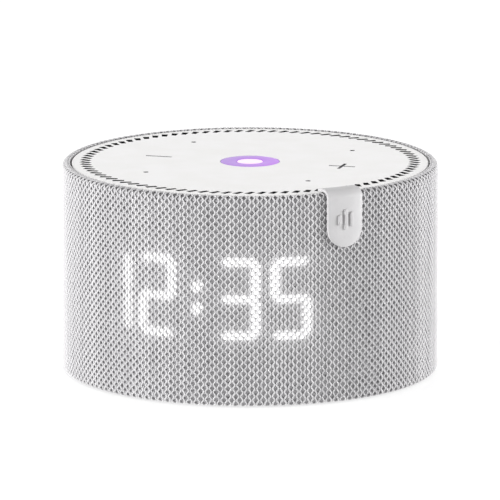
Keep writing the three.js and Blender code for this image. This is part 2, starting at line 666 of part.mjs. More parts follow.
function mainBoard() {
  const plate = disc(shellInner - board.edge, boardUnder, boardTop);
  return cut(plate, atCorners(disc(screw.radius + screw.bore, 0, boardTop + 1, 8), chassis.legCircle));
}

/** The inlet's metal shell, open to the rear, with its tongue standing on the closed end. */
function powerSocket() {
  const round = (width, height) => roundedOutline(width, height, height / 2 - 0.05);
  const shape = (outline, depth, start) =>
    radialPrism(outline, start, start + depth, rear, socketZ);
  const back = socket.mouth - socket.length;
  const outer = shape(round(socket.width, socket.height), socket.length, back);
  const hollow = shape(
    round(socket.width - 2 * socket.wall, socket.height - 2 * socket.wall), socket.length, back + 1);
  const tongue = box(socket.width * 0.7, socket.length - 1.4, 0.7)
    .translate(0, back + 0.5 + (socket.length - 1.4) / 2, socketZ);
  return join(cut(outer, [hollow]), [tongue]);
}

/** A flat cable of the drum's height: down from a board's edge, then inwards over the main board. */
function flatCable(edge, upper, lower, inward, azimuth) {
  const t = ribbon.thickness;
  const outline = new THREE.Shape([
    [edge, upper], [edge, lower + t], [edge - inward, lower + t], [edge - inward, lower],
    [edge + t, lower], [edge + t, upper],
  ].map(([r, z]) => new THREE.Vector2(r, z)));
  return new THREE.ExtrudeGeometry(outline, { depth: ribbon.width, bevelEnabled: false })
    .rotateX(Math.PI / 2) // the outline's radius stays x and its height becomes z
    .translate(0, ribbon.width / 2, 0)
    .rotateZ(azimuth - Math.PI / 2);
}

const sliderRest = -travel.slider / 2;
const knobFace = sleeve.radius - slider.recess;
const plateBack = shellInner - fitGap - slider.plate - 0.15;
function micSlider() {
  const knob = roundedOutline(slider.width, slider.height, 0.5, 2);
  const knobBack = shellOuter + fitGap + 0.1;
  return join(
    radialPrism(knob, knobBack, knobFace, rear, slider.z), [
      box(slider.stem, knobBack - plateBack, slider.stemHeight)
        .translate(0, (knobBack + plateBack) / 2 + 0.1, slider.z),
      box(slider.stem + 2, slider.plate, slider.stemHeight + 1)
        .translate(0, plateBack + slider.plate / 2, slider.z),
    ]);
}

const leadPath = new THREE.CatmullRomCurve3([
  [leadSpot[0] + 1.5, leadSpot[1], (basketFloor + baffleUnder) / 2],
  [leadSpot[0], leadSpot[1], basketFloor - 1],
  [leadSpot[0], leadSpot[1], floorTop + 4], [leadSpot[0], leadSpot[1], boardTop + 1],
].map((p) => new THREE.Vector3(...p)));

piece('base_cover', baseCover(), blackPlastic, bottom);
piece('foot_ring', ring(foot.innerRadius, foot.outerRadius, 0, foot.height, fine), rubber, bottom);
screws('base_screw', floorTop - 1 - baseScrewSeat, chassis.legCircle, baseScrewSeat, { headsDown: true });
piece('main_board', mainBoard(), circuit, bottom);
piece('shield_can', box(shieldCan.width, shieldCan.depth, shieldCan.height), steel, bottom)
  .position.set(-4, -6, boardTop + seatGap + shieldCan.height / 2);
piece('power_socket', powerSocket(), steel, bottom);
piece('mic_switch_body', box(switchBody.width, switchBody.depth, switchBody.height), blackPlastic, bottom)
  .position.set(0, plateBack - seatGap - switchBody.depth / 2, slider.z);
piece('mic_slider', micSlider(), whitePlastic, bottom).position.x = sliderRest;
const ribbonEnd = boardTop + 0.5;
const clockRibbon = flatCable(flexInner + 0.1, displayBottom - seatGap, ribbonEnd, 6, 0);
piece('display_ribbon', clockRibbon, amber, bottom);
const touchRibbon = flatCable(chassisOuter + 0.8, touchTop - 0.4, ribbonEnd, 7, rear + ribbon.turn);
piece('top_ribbon', touchRibbon, amber, bottom);
const lead = new THREE.ExtrudeGeometry(circleShape(leadRadius, 8), { steps: 16, extrudePath: leadPath });
piece('speaker_lead', lead, blackPlastic, bottom);

export default speaker;
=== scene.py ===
"""The looks of a drum-shaped smart speaker with a clock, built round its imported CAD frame.

Lengths are written in millimetres and become metres through MM. The speaker stands at the origin, its
clock faces -Y, and an azimuth counts from -Y towards +X, as in the CAD.
"""

from __future__ import annotations

import logging
import math
from dataclasses import dataclass, field
from enum import Enum
from typing import Callable, Iterable, Sequence

import bmesh
import bpy
import numpy as np
from mathutils import Matrix, Vector

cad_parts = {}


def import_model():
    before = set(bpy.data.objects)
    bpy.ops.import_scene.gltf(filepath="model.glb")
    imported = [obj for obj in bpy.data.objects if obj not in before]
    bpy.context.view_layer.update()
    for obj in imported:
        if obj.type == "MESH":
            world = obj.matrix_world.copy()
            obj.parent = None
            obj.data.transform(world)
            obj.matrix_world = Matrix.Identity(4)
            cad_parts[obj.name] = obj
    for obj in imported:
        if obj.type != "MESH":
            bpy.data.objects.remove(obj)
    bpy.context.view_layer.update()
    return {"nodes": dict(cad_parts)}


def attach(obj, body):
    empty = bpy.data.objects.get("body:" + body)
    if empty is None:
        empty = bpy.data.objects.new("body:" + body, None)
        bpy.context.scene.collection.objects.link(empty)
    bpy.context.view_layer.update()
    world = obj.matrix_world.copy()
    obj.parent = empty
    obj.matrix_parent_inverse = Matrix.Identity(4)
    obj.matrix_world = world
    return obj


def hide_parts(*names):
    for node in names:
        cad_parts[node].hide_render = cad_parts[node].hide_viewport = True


log = logging.getLogger("speaker")

MM = 0.001
HOUSING = "housing"
SWITCH = "mic_switch"
WAVE_TURN = 20  # radians of a Wave Texture over one unit, at scale 1

Point2 = tuple[float, float]
Colour = tuple[float, float, float, float]


# ---------------------------------------------------------------- small helpers


def linear(hex_colour: str) -> Colour:
    """Turns six hex digits of an sRGB colour into Blender's linear red, green and blue, fully opaque."""
    channels = [int(hex_colour[i : i + 2], 16) / 255 for i in (0, 2, 4)]
    red, green, blue = (c / 12.92 if c <= 0.04045 else ((c + 0.055) / 1.055) ** 2.4 for c in channels)
    return red, green, blue, 1.0


def arc_points(centre: Point2, radius: float, start: float, end: float, steps: int) -> list[Point2]:
    """Points on an arc, from one angle to another in degrees."""
    angles = [math.radians(start + (end - start) * i / steps) for i in range(steps + 1)]
    return [(centre[0] + radius * math.cos(a), centre[1] + radius * math.sin(a)) for a in angles]


def smooth_step(value: np.ndarray, low: float, high: float) -> np.ndarray:
    """Rises smoothly from 0 at low to 1 at high."""
    t = np.clip((value - low) / (high - low), 0, 1)
    return t * t * (3 - 2 * t)


def deselect() -> None:
    """Leaves nothing selected, so that an operator acts only on the piece being made."""
    if bpy.context.object and bpy.context.object.mode != "OBJECT":
        bpy.ops.object.mode_set(mode="OBJECT")
    bpy.ops.object.select_all(action="DESELECT")


def take(piece: bpy.types.Object) -> None:
    """Makes a piece the only selected and the active one."""
    deselect()
    piece.select_set(True)
    bpy.context.view_layer.objects.active = piece


def named(name: str) -> bpy.types.Object:
    """Names the object that an operator has just added, and its mesh."""
    piece = bpy.context.object
    piece.name = name
    piece.data.name = name
    return piece


def settle(piece: bpy.types.Object) -> bpy.types.Object:
    """Moves an object's place, turn and scale into its mesh."""
    take(piece)
    bpy.ops.object.transform_apply(location=True, rotation=True, scale=True)
    return piece


def clean(piece: bpy.types.Object, merge: float = 0.002) -> bpy.types.Object:
    """Merges doubled vertices and turns the faces of a closed piece outwards.

    Args:
        piece: the piece to mend.
        merge: the distance in millimetres under which two vertices become one.

    Returns:
        The same piece.
    """
    take(piece)
    bpy.ops.object.mode_set(mode="EDIT")
    bpy.ops.mesh.select_all(action="SELECT")
    bpy.ops.mesh.remove_doubles(threshold=merge * MM)
    bpy.ops.mesh.normals_make_consistent(inside=False)
    bpy.ops.object.mode_set(mode="OBJECT")
    return piece


def shade(piece: bpy.types.Object, angle: float = 35) -> bpy.types.Object:
    """Smooths a piece's shading where its faces meet at less than an angle in degrees."""
    take(piece)
    bpy.ops.object.shade_smooth_by_angle(angle=math.radians(angle))
    return piece


def apply_modifier(piece: bpy.types.Object, kind: str, **settings: object) -> None:
    """Adds a modifier with its settings and applies it."""
    take(piece)
    modifier = piece.modifiers.new(kind.lower(), kind)
    for key, value in settings.items():
        setattr(modifier, key, value)
    bpy.ops.object.modifier_apply(modifier=modifier.name)


def soften(piece: bpy.types.Object, width: float, segments: int = 2, angle: float = 40) -> bpy.types.Object:
    """Rounds a piece's sharp edges, as a mould does.

    Args:
        piece: the piece.
        width: the rounding in millimetres.
        segments: faces across it.
        angle: only edges sharper than this many degrees are rounded.

    Returns:
        The same piece.
    """
    apply_modifier(
        piece, "BEVEL", width=width * MM, segments=segments, limit_method="ANGLE",
        angle_limit=math.radians(angle), use_clamp_overlap=True,
    )
    return shade(piece)


def combine(piece: bpy.types.Object, other: bpy.types.Object, how: str) -> bpy.types.Object:
    """Joins, cuts or trims a piece with another, which is then removed.

    Args:
        piece: the piece that stays.
        other: the tool.
        how: UNION, DIFFERENCE or INTERSECT.

    Returns:
        The same piece.
    """
    apply_modifier(piece, "BOOLEAN", object=other, operation=how, solver="EXACT")
    bpy.data.objects.remove(other, do_unlink=True)
    return piece


def turned(name: str, profile: Sequence[Point2], facets: int = 96, loop: bool = True) -> bpy.types.Object:
    """Draws a ring through a profile: a circle that is extruded and resized from point to point.

    Args:
        name: the piece's name.
        profile: (radius, height) points in millimetres; a radius of 0 closes the piece with a pole.
        facets: faces round the piece.
        loop: whether the last ring joins the first.

    Returns:
        The new piece.
    """
    deselect()
    tiny = 1e-4
    radius, height = max(profile[0][0], tiny), profile[0][1]
    bpy.ops.mesh.primitive_circle_add(
        vertices=facets, radius=radius * MM, location=(0, 0, height * MM), rotation=(0, 0, math.pi / 2)
    )
    piece = settle(named(name))
    bpy.ops.object.mode_set(mode="EDIT")
    bpy.ops.mesh.select_all(action="SELECT")
    stops = [*profile[1:], *([profile[0]] if loop else [])]
    for next_radius, next_height in stops:
        next_radius = max(next_radius, tiny)
        bpy.ops.mesh.extrude_region_move(
            TRANSFORM_OT_translate={"value": (0, 0, (next_height - height) * MM)}
        )
        ratio = next_radius / radius
        bpy.ops.transform.resize(value=(ratio, ratio, 1), center_override=(0, 0, 0))
        radius, height = next_radius, next_height
    bpy.ops.object.mode_set(mode="OBJECT")
    return clean(piece)


def rounded_block(
    name: str, size: Vector, centre: Vector, corner: float, axis: int, azimuth: float = 0.0, steps: int = 6
) -> bpy.types.Object:
    """A block whose four edges along one axis are rounded.

    Args:
        name: the piece's name.
        size: width, depth and height in millimetres.
        centre: its middle, before it is turned about Z.
        corner: the edges' radius.
        axis: the axis that the rounded edges run along, 0 to 2.
        azimuth: a turn about Z in radians.
        steps: faces round each edge.

    Returns:
        The new piece.
    """
    deselect()
    bpy.ops.mesh.primitive_cube_add(size=1, location=centre * MM)
    piece = named(name)
    piece.scale = size * MM
    settle(piece)
    bpy.ops.object.mode_set(mode="EDIT")
    bpy.ops.mesh.select_all(action="DESELECT")
    mesh = bmesh.from_edit_mesh(piece.data)
    for edge in mesh.edges:
        along = (edge.verts[1].co - edge.verts[0].co).normalized()
        edge.select = abs(along[axis]) > 0.99
    bmesh.update_edit_mesh(piece.data)
    bpy.ops.mesh.bevel(offset=corner * MM, segments=steps, affect="EDGES", clamp_overlap=True)
    bpy.ops.object.mode_set(mode="OBJECT")
    piece.rotation_euler.z = azimuth
    return settle(piece)


def joined(parts: Sequence[bpy.types.Object], name: str) -> bpy.types.Object:
    """Joins objects into one with a new name."""
    deselect()
    for part in parts:
        part.select_set(True)
    bpy.context.view_layer.objects.active = parts[0]
    bpy.ops.object.join()
    return named(name)


def copies(piece: bpy.types.Object, turns: Iterable[float]) -> bpy.types.Object:
    """Copies a piece round Z at each angle, and joins the copies into one object."""
    made = []
    for turn in turns:
        twin = piece.copy()
        twin.data = piece.data.copy()
        twin.data.transform(Matrix.Rotation(turn, 4, "Z"))
        bpy.context.collection.objects.link(twin)
        made.append(twin)
    name = piece.name
    bpy.data.objects.remove(piece, do_unlink=True)
    return joined(made, name)


def add_attribute(piece: bpy.types.Object, name: str, values: np.ndarray) -> None:
    """Stores one number for each vertex of a piece."""
    layer = piece.data.attributes.new(name, "FLOAT", "POINT")
    layer.data.foreach_set("value", values.astype(np.float32))


def vertices_of(piece: bpy.types.Object) -> np.ndarray:
    """A piece's vertices in millimetres, one row each."""
    flat = np.zeros(len(piece.data.vertices) * 3, np.float32)
    piece.data.vertices.foreach_get("co", flat)
    return flat.reshape(-1, 3).astype(float) / MM


def place_vertices(piece: bpy.types.Object, points: np.ndarray) -> None:
    """Puts a piece's vertices at points given in millimetres."""
    piece.data.vertices.foreach_set("co", (points * MM).astype(np.float32).ravel())
    piece.data.update()


# ---------------------------------------------------------------- finishes


def add_node(
    tree: bpy.types.NodeTree, kind: str, settings: dict | None = None, **inputs: object
) -> bpy.types.Node:
    """Adds a node with its settings and links.

    Args:
        tree: the material's or world's node tree.
        kind: the node's type, without the ShaderNode prefix.
        settings: properties of the node itself.
        inputs: a value or an output socket for each input; an underscore stands for a space, and in1 for
            the input of index 1.

    Returns:
        The new node.
    """
    made = tree.nodes.new("ShaderNode" + kind)
    for key, value in (settings or {}).items():
        setattr(made, key, value)
    for key, value in inputs.items():
        by_index = key[:2] == "in" and key[2:].isdigit()
        socket = made.inputs[int(key[2:]) if by_index else key.replace("_", " ")]
        if isinstance(value, bpy.types.NodeSocket):
            tree.links.new(value, socket)
        else:
            socket.default_value = value
    return made


def calculate(tree: bpy.types.NodeTree, operation: str, *values: object) -> bpy.types.NodeSocket:
    """Adds a Math node on numbers or sockets, and returns the result's socket."""
    inputs = {f"in{index}": value for index, value in enumerate(values)}
    return add_node(tree, "Math", {"operation": operation}, **inputs).outputs[0]


def light_up(
    tree: bpy.types.NodeTree, shader: bpy.types.Node, colour: str, strength: bpy.types.NodeSocket
) -> None:
    """Makes a surface give off light of one colour, as strongly as a socket says."""
    shader.inputs["Emission Color"].default_value = linear(colour)
    tree.links.new(strength, shader.inputs["Emission Strength"])


def ramp(
    tree: bpy.types.NodeTree, source: bpy.types.NodeSocket, stops: Sequence[tuple[float, Colour]]
) -> bpy.types.NodeSocket:
    """Turns a number into a colour through a few stops, and returns the colour's socket."""
    made = add_node(tree, "ValToRGB", in0=source)
    elements = made.color_ramp.elements
    for index, (position, colour) in enumerate(stops):
        element = elements[index] if index < 2 else elements.new(position)
        element.position = position
        element.color = colour
    return made.outputs["Color"]


@dataclass(frozen=True)
class Finish:
    """A surface: its colour, how it varies, and how rough and how grained it is."""

    name: str
    colour: str
    shade: str
    roughness: float = 0.5
    grain_mm: float = 0.4
    grain_depth_mm: float = 0.02
    metallic: float = 0.0
    ior: float = 1.5
    sheen: float = 0.0
    coat: float = 0.0

    def start(self) -> tuple[bpy.types.Material, bpy.types.NodeTree, bpy.types.Node]:
        """Makes the material with its shader, and sets what is the same all over the surface."""
        material = bpy.data.materials.new(self.name)
        material.use_nodes = True
        tree = material.node_tree
        shader = tree.nodes["Principled BSDF"]
        shader.inputs["Metallic"].default_value = self.metallic
        if self.metallic == 0:
            shader.inputs["IOR"].default_value = self.ior
        shader.inputs["Sheen Weight"].default_value = self.sheen
        shader.inputs["Coat Weight"].default_value = self.coat
        return material, tree, shader

    def noise(self, tree: bpy.types.NodeTree, size_mm: float, detail: float = 3) -> bpy.types.NodeSocket:
        """Noise whose lumps are about size_mm wide, on Object coordinates."""
        place = add_node(tree, "TexCoord").outputs["Object"]
        made = add_node(tree, "TexNoise", Vector=place, Scale=1 / (size_mm * MM), Detail=detail)
        return made.outputs["Fac"]

    def emboss(
        self, tree: bpy.types.NodeTree, shader: bpy.types.Node, height: bpy.types.NodeSocket, strength: float
    ) -> None:
        """Raises the surface's grain by a height's socket."""
        bump = add_node(tree, "Bump", Height=height, Distance=self.grain_depth_mm * MM, Strength=strength)
        tree.links.new(bump.outputs["Normal"], shader.inputs["Normal"])

    def build(self) -> bpy.types.Material:
        """The material: a slow change of shade under a fine grain that also moves the gloss."""
        material, tree, shader = self.start()
        slow = self.noise(tree, self.grain_mm * 25, 2)
        colours = ramp(tree, slow, [(0.35, linear(self.shade)), (0.65, linear(self.colour))])
        tree.links.new(colours, shader.inputs["Base Color"])
        grain = self.noise(tree, self.grain_mm)
        gloss = add_node(
            tree, "MapRange", Value=grain, To_Min=self.roughness - 0.05, To_Max=self.roughness + 0.05
        )
        tree.links.new(gloss.outputs["Result"], shader.inputs["Roughness"])
        self.emboss(tree, shader, grain, 0.6)
        return material


class Slot(Enum):
    """The record's material slots."""

    KNIT = "knit_fabric"
    WHITE = "white_plastic"
    BLACK = "black_plastic"
    GREY = "grey_plastic"
    CLOTH = "acoustic_cloth"
    VIOLET = "violet_lens"
    CLEAR = "clear_lens"
    SILICONE = "silicone"
    RUBBER = "rubber"
    CIRCUIT = "circuit"
    STEEL = "steel"
    FERRITE = "ferrite"
    PAPER = "cone_paper"
    COPPER = "copper"
    LIGHT = "light_plastic"
    POLYIMIDE = "polyimide"


PLAIN_FINISHES: dict[Slot, Finish] = {
    # ABS moulded in a spark-eroded tool: an even, fine, matt white
    Slot.WHITE: Finish("Moulded_ABS_white", "edecec", "eae9e8", 0.42, 0.3, 0.006, ior=1.54),
    # also used as black painted shade on the top panel's vent and hole walls
    Slot.BLACK: Finish("Moulded_ABS_black_and_vent_shade", "2b2b2d", "252527", 0.55, 0.35, 0.02, ior=1.54),
    Slot.GREY: Finish("Moulded_ABS_grey", "949496", "8b8b8d", 0.55, 0.35, 0.02, ior=1.54),
    # silicone from a blasted mould: soft to the touch, so it has a dull, slightly dusty surface
    Slot.SILICONE: Finish(
        "Moulded_silicone_grey", "b6b5b6", "b0afb0", 0.5, 0.22, 0.012, ior=1.41, sheen=0.05
    ),
    Slot.RUBBER: Finish("Moulded_rubber", "3b3b3c", "303031", 0.85, 0.5, 0.04, ior=1.52),
    Slot.CIRCUIT: Finish("Solder_resist_green", "20603f", "1a5236", 0.35, 1.2, 0.01, ior=1.56, coat=0.3),
    Slot.STEEL: Finish("Plated_steel", "bfc0c3", "adaeb1", 0.32, 0.25, 0.008, metallic=1.0),
    Slot.FERRITE: Finish("Sintered_ferrite", "3f3f42", "343437", 0.6, 0.3, 0.02, metallic=0.3),
    Slot.PAPER: Finish("Pressed_paper_black", "262628", "1d1d1f", 0.9, 0.6, 0.05, sheen=0.1),
    Slot.COPPER: Finish("Enamelled_copper_wire", "b8733f", "a5642f", 0.35, 0.2, 0.02, metallic=1.0),
    Slot.LIGHT: Finish("Moulded_acrylic_opal", "f2f2f2", "ebebec", 0.4, 0.3, 0.006, ior=1.49),
    Slot.POLYIMIDE: Finish("Polyimide_film", "c98a2b", "b97c22", 0.3, 0.8, 0.01, ior=1.7, coat=0.2),
}


@dataclass(frozen=True)
class AcousticCloth(Finish):
    """A woven dark cloth: its threads cross at a real spacing."""

    thread_mm: float = 0.45

    def build(self) -> bpy.types.Material:
        """The material: two crossed sets of threads in the bump and in the colour."""
        material, tree, shader = self.start()
        place = add_node(tree, "TexCoord").outputs["Object"]
        bands = []
        for direction in ("X", "Y"):
            wave = add_node(
                tree, "TexWave", {"wave_type": "BANDS", "bands_direction": direction},
                Vector=place, Scale=math.tau / (self.thread_mm * MM) / WAVE_TURN,
            )
            bands.append(wave.outputs["Fac"])
        weave = calculate(tree, "MULTIPLY", *bands)
        colours = ramp(tree, weave, [(0.1, linear(self.shade)), (0.8, linear(self.colour))])
        tree.links.new(colours, shader.inputs["Base Color"])
        shader.inputs["Roughness"].default_value = self.roughness
        self.emboss(tree, shader, weave, 0.8)
        return material


@dataclass(frozen=True)
class Yarn(Finish):
    """Polyester yarn: many fine filaments along the thread, a soft sheen, and light from behind it."""

    filament_mm: float = 0.12
    fuzz_share: float = 0.35
    lamp: str = "ffffff"
    lamp_strength: float = 1.0

    def build(self) -> bpy.types.Material:
        """The material: each thread has its own tone, and glows where a lamp stands behind it."""
        material, tree, shader = self.start()
        tone = add_node(tree, "Attribute", {"attribute_name": "tone"}).outputs["Fac"]
        fuzz = self.noise(tree, self.filament_mm, 2)
        mixed = calculate(tree, "MULTIPLY_ADD", fuzz, self.fuzz_share, tone)
        colours = ramp(tree, mixed, [(0.2, linear(self.shade)), (1.0, linear(self.colour))])
        tree.links.new(colours, shader.inputs["Base Color"])
        shader.inputs["Roughness"].default_value = self.roughness
        self.emboss(tree, shader, fuzz, 0.7)
        glow = add_node(tree, "Attribute", {"attribute_name": "glow"}).outputs["Fac"]
        light_up(tree, shader, self.lamp, calculate(tree, "MULTIPLY", glow, self.lamp_strength))
        return material


@dataclass(frozen=True)
class Backing(Finish):
    """The knit's lower layer: seen through the upper one's holes, a little lighter in each hole's middle; the
    darkening towards each hole's edges is painted shade from the yarns above.
    """

    lamp: str = "ffffff"
    lamp_strength: float = 1.5
    # painted shade: a darker grey that is mixed into the backing across the fold over the rim
    fold_shade_colour: str = "807f81"
    fuzz_share: float = 0.9
    patch_mm: float = 1.6
    patch_share: float = 1.2

    def build(self) -> bpy.types.Material:
        """The material: a cell pattern on the sheet's own UV, one unit for each column and row of holes."""
        material, tree, shader = self.start()
        cell = add_node(tree, "SeparateXYZ", Vector=add_node(tree, "UVMap").outputs["UV"])
        turns = [calculate(tree, "MULTIPLY", cell.outputs[axis], math.tau) for axis in ("X", "Y")]
        waves = [calculate(tree, "COSINE", turn) for turn in turns]
        holes = calculate(tree, "MULTIPLY", *waves)
        fuzz = self.noise(tree, self.grain_mm, 3)
        mixed = calculate(tree, "MULTIPLY_ADD", fuzz, self.fuzz_share, holes)
        patches = self.noise(tree, self.patch_mm, 0)
        varied = calculate(tree, "MULTIPLY_ADD", patches, self.patch_share, mixed)
        # painted shade: the colour falls from each hole's middle to its edges, where the yarns above shade
        # this layer; the fuzz and patches are the yarn's own random tone
        colours = ramp(tree, varied, [(0.75, linear(self.shade)), (1.0, linear(self.colour))])
        # mixes in the painted fold shade, 0 on the wall and 1 on the fold's top
        fold_shade = add_node(tree, "Attribute", {"attribute_name": "fold_shade"}).outputs["Fac"]
        blend = add_node(
            tree, "Mix", {"data_type": "RGBA"}, Factor=fold_shade, in6=colours, in7=linear(self.fold_shade_colour)
        )
        tree.links.new(blend.outputs[2], shader.inputs["Base Color"])
        shader.inputs["Roughness"].default_value = self.roughness
        spots = add_node(tree, "MapRange", Value=holes, From_Min=0.15, From_Max=0.8, To_Min=0.1, To_Max=1.0)
        glow = add_node(tree, "Attribute", {"attribute_name": "glow"}).outputs["Fac"]
        lit = calculate(tree, "MULTIPLY", glow, spots.outputs["Result"])
        light_up(tree, shader, self.lamp, calculate(tree, "MULTIPLY", lit, self.lamp_strength))
        return material


@dataclass(frozen=True)
class LitLens(Finish):
    """Opal acrylic with lamps behind it: its colour runs across the disc, and it glows a little."""

    far_colour: str = "ffffff"
    width_mm: float = 15.4
    strength: float = 0.3

    def build(self) -> bpy.types.Material:
        """The material: one gradient along X for the body and for the light that comes through it."""
        material, tree, shader = self.start()
        place = add_node(tree, "SeparateXYZ", Vector=add_node(tree, "TexCoord").outputs["Object"])
        half = self.width_mm / 2 * MM
        across = add_node(tree, "MapRange", Value=place.outputs["X"], From_Min=-half, From_Max=half)
        stops = [(0.0, linear(self.colour)), (1.0, linear(self.far_colour))]
        colours = ramp(tree, across.outputs["Result"], stops)
        for socket in ("Base Color", "Emission Color"):
            tree.links.new(colours, shader.inputs[socket])
        shader.inputs["Emission Strength"].default_value = self.strength
        shader.inputs["Roughness"].default_value = self.roughness
        self.emboss(tree, shader, self.noise(tree, self.grain_mm), 0.4)
        return material


SPECIAL_FINISHES: dict[Slot, Finish] = {
    Slot.KNIT: Yarn(
        "Knitted_polyester_yarn", "c9c8c9", "a8a7a9", 0.9, 0.3, 0.04, ior=1.45, lamp_strength=0.22
    ),
    Slot.CLOTH: AcousticCloth("Woven_acoustic_cloth", "2e2d2f", "0c0c0d", 0.95, 0.4, 0.06),
    Slot.VIOLET: LitLens(
        "Opal_acrylic_violet", "905fbe", "905fbe", 0.28, 0.3, 0.003, ior=1.49,
        far_colour="a153d1", strength=0.22,
    ),
    Slot.CLEAR: LitLens(
        "Opal_acrylic_clear", "edd0f2", "edd0f2", 0.28, 0.3, 0.003, ior=1.49,
        far_colour="f0d0f6", strength=0.3,
    ),
}

BACKING = Backing("Knitted_polyester_backing", "c8c7c9", "838284", 0.95, 0.6, 0.05, lamp_strength=1.5)
# grey painted shade on the floors and walls of the engraved volume marks
MARK_SHADE_GREY = Finish("Pad_printed_grey", "7b7a7c", "727173", 0.5, 0.3, 0.004)


@dataclass
class FinishBox:
    """Builds each material once, on first use."""

    made: dict[str, bpy.types.Material] = field(default_factory=dict)

    def take(self, finish: Finish) -> bpy.types.Material:
        """The finish's material."""
        if finish.name not in self.made:
            self.made[finish.name] = finish.build()
        return self.made[finish.name]

    def of_slot(self, slot: Slot) -> bpy.types.Material:
        """The material that a slot of the record stands for."""
        return self.take(SPECIAL_FINISHES.get(slot) or PLAIN_FINISHES[slot])


# ---------------------------------------------------------------- the speaker's sub-assemblies


@dataclass
class Assembly:
    """A group of pieces that are built, dressed and handed over together."""

    finishes: FinishBox

    def hand_over(
        self, piece: bpy.types.Object, slot: Slot, *replaced: str,
        body: str = HOUSING, finish: Finish | None = None,
    ) -> bpy.types.Object:
        """Dresses a finished piece, sets it on the CAD body that it moves with, and hides the CAD nodes that
        it replaces.

        Args:
            piece: the finished piece.
            slot: the record's slot that it belongs to.
            replaced: the CAD nodes that it replaces.
            body: the CAD body that it moves with.
            finish: its finish, where it isn't the slot's own.

        Returns:
            The same piece.
        """
        piece.data.materials.clear()
        piece.data.materials.append(self.finishes.take(finish) if finish else self.finishes.of_slot(slot))
        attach(piece, body)
        if replaced:
            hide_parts(*replaced)
        log.info("%s: %d faces on %s", piece.name, len(piece.data.polygons), body)
        return piece

    def build(self) -> None:
        """Builds the sub-assembly's pieces."""
        raise NotImplementedError


@dataclass(frozen=True)
class Segment:
    """One bar of a figure: its middle, half its length, and whether it lies flat."""

    x: float
    z: float
    half: float
    flat: bool

    def distance(self, x: np.ndarray, z: np.ndarray, half_stroke: float) -> np.ndarray:
        """How far points lie outside the pointed bar, negative inside it."""
        along, across = (x - self.x, z - self.z) if self.flat else (z - self.z, x - self.x)
        along, across = np.abs(along), np.abs(across)
        return np.maximum(across - half_stroke, (along + across - self.half) / math.sqrt(2))


@dataclass(frozen=True)
class Clock:
    """The lit figures, as light on the fabric: x is an arc length at the sleeve's surface."""

    width: float = 10.7
    height: float = 21.4
    stroke: float = 2.1
    flat_slimmer: float = 0.15
    overlap: float = 0.2
    edge: float = 0.6
    halo: float = 0.2
    halo_reach: float = 1.6
    middle: float = 28.4
    centres: tuple[float, ...] = (-25.05, -11.5, 10.95, 24.6)
    lit: tuple[str, ...] = ("bc", "abged", "abgcd", "afgcd")
    dot_radius: float = 1.25
    dot_rise: float = 2.9
    dot_x: float = -0.25

    def segments(self) -> list[Segment]:
        """The lit bars of all four figures."""
        side = (self.width - self.stroke) / 2
        up = (self.height - self.stroke) / 2
        flat, tall = side + self.overlap, up / 2 + self.overlap
        places = {
            "a": (0, up, flat, True), "g": (0, 0, flat, True), "d": (0, -up, flat, True),
            "f": (-side, up / 2, tall, False), "b": (side, up / 2, tall, False),
            "e": (-side, -up / 2, tall, False), "c": (side, -up / 2, tall, False),
        }
        return [
            Segment(centre + places[key][0], self.middle + places[key][1], *places[key][2:])
            for centre, keys in zip(self.centres, self.lit)
            for key in keys
        ]

    def light(self, x: np.ndarray, z: np.ndarray) -> np.ndarray:
        """The light at points on the fabric, from 0 to 1, with a faint halo round the bars."""
        away = np.full(x.shape, 1e3)
        for segment in self.segments():
            slimmer = self.flat_slimmer if segment.flat else 0
            away = np.minimum(away, segment.distance(x, z, self.stroke / 2 - slimmer))
        for rise in (self.dot_rise, -self.dot_rise):
            dot = np.hypot(x - self.dot_x, z - self.middle - rise) - self.dot_radius
            away = np.minimum(away, dot)
        halo = self.halo * np.exp(-np.maximum(away, 0) / self.halo_reach)
        return smooth_step(-away, -self.edge, self.edge / 2) + halo


@dataclass(frozen=True)
class RearCutOut:
    """The opening in the fabric round the rear plate."""

    half_width: float = 8.0
    bottom: float = 5.2
    top: float = 24.6
    corner: float = 4.0

    def distance(self, x: np.ndarray, z: np.ndarray) -> np.ndarray:
        """How far points lie outside the plate's outline, x being the arc length from its middle."""
        middle, half_height = (self.bottom + self.top) / 2, (self.top - self.bottom) / 2
        away_x = np.abs(x) - self.half_width + self.corner
        away_z = np.abs(z - middle) - half_height + self.corner
        outside = np.hypot(np.maximum(away_x, 0), np.maximum(away_z, 0))
        return outside + np.minimum(np.maximum(away_x, away_z), 0) - self.corner


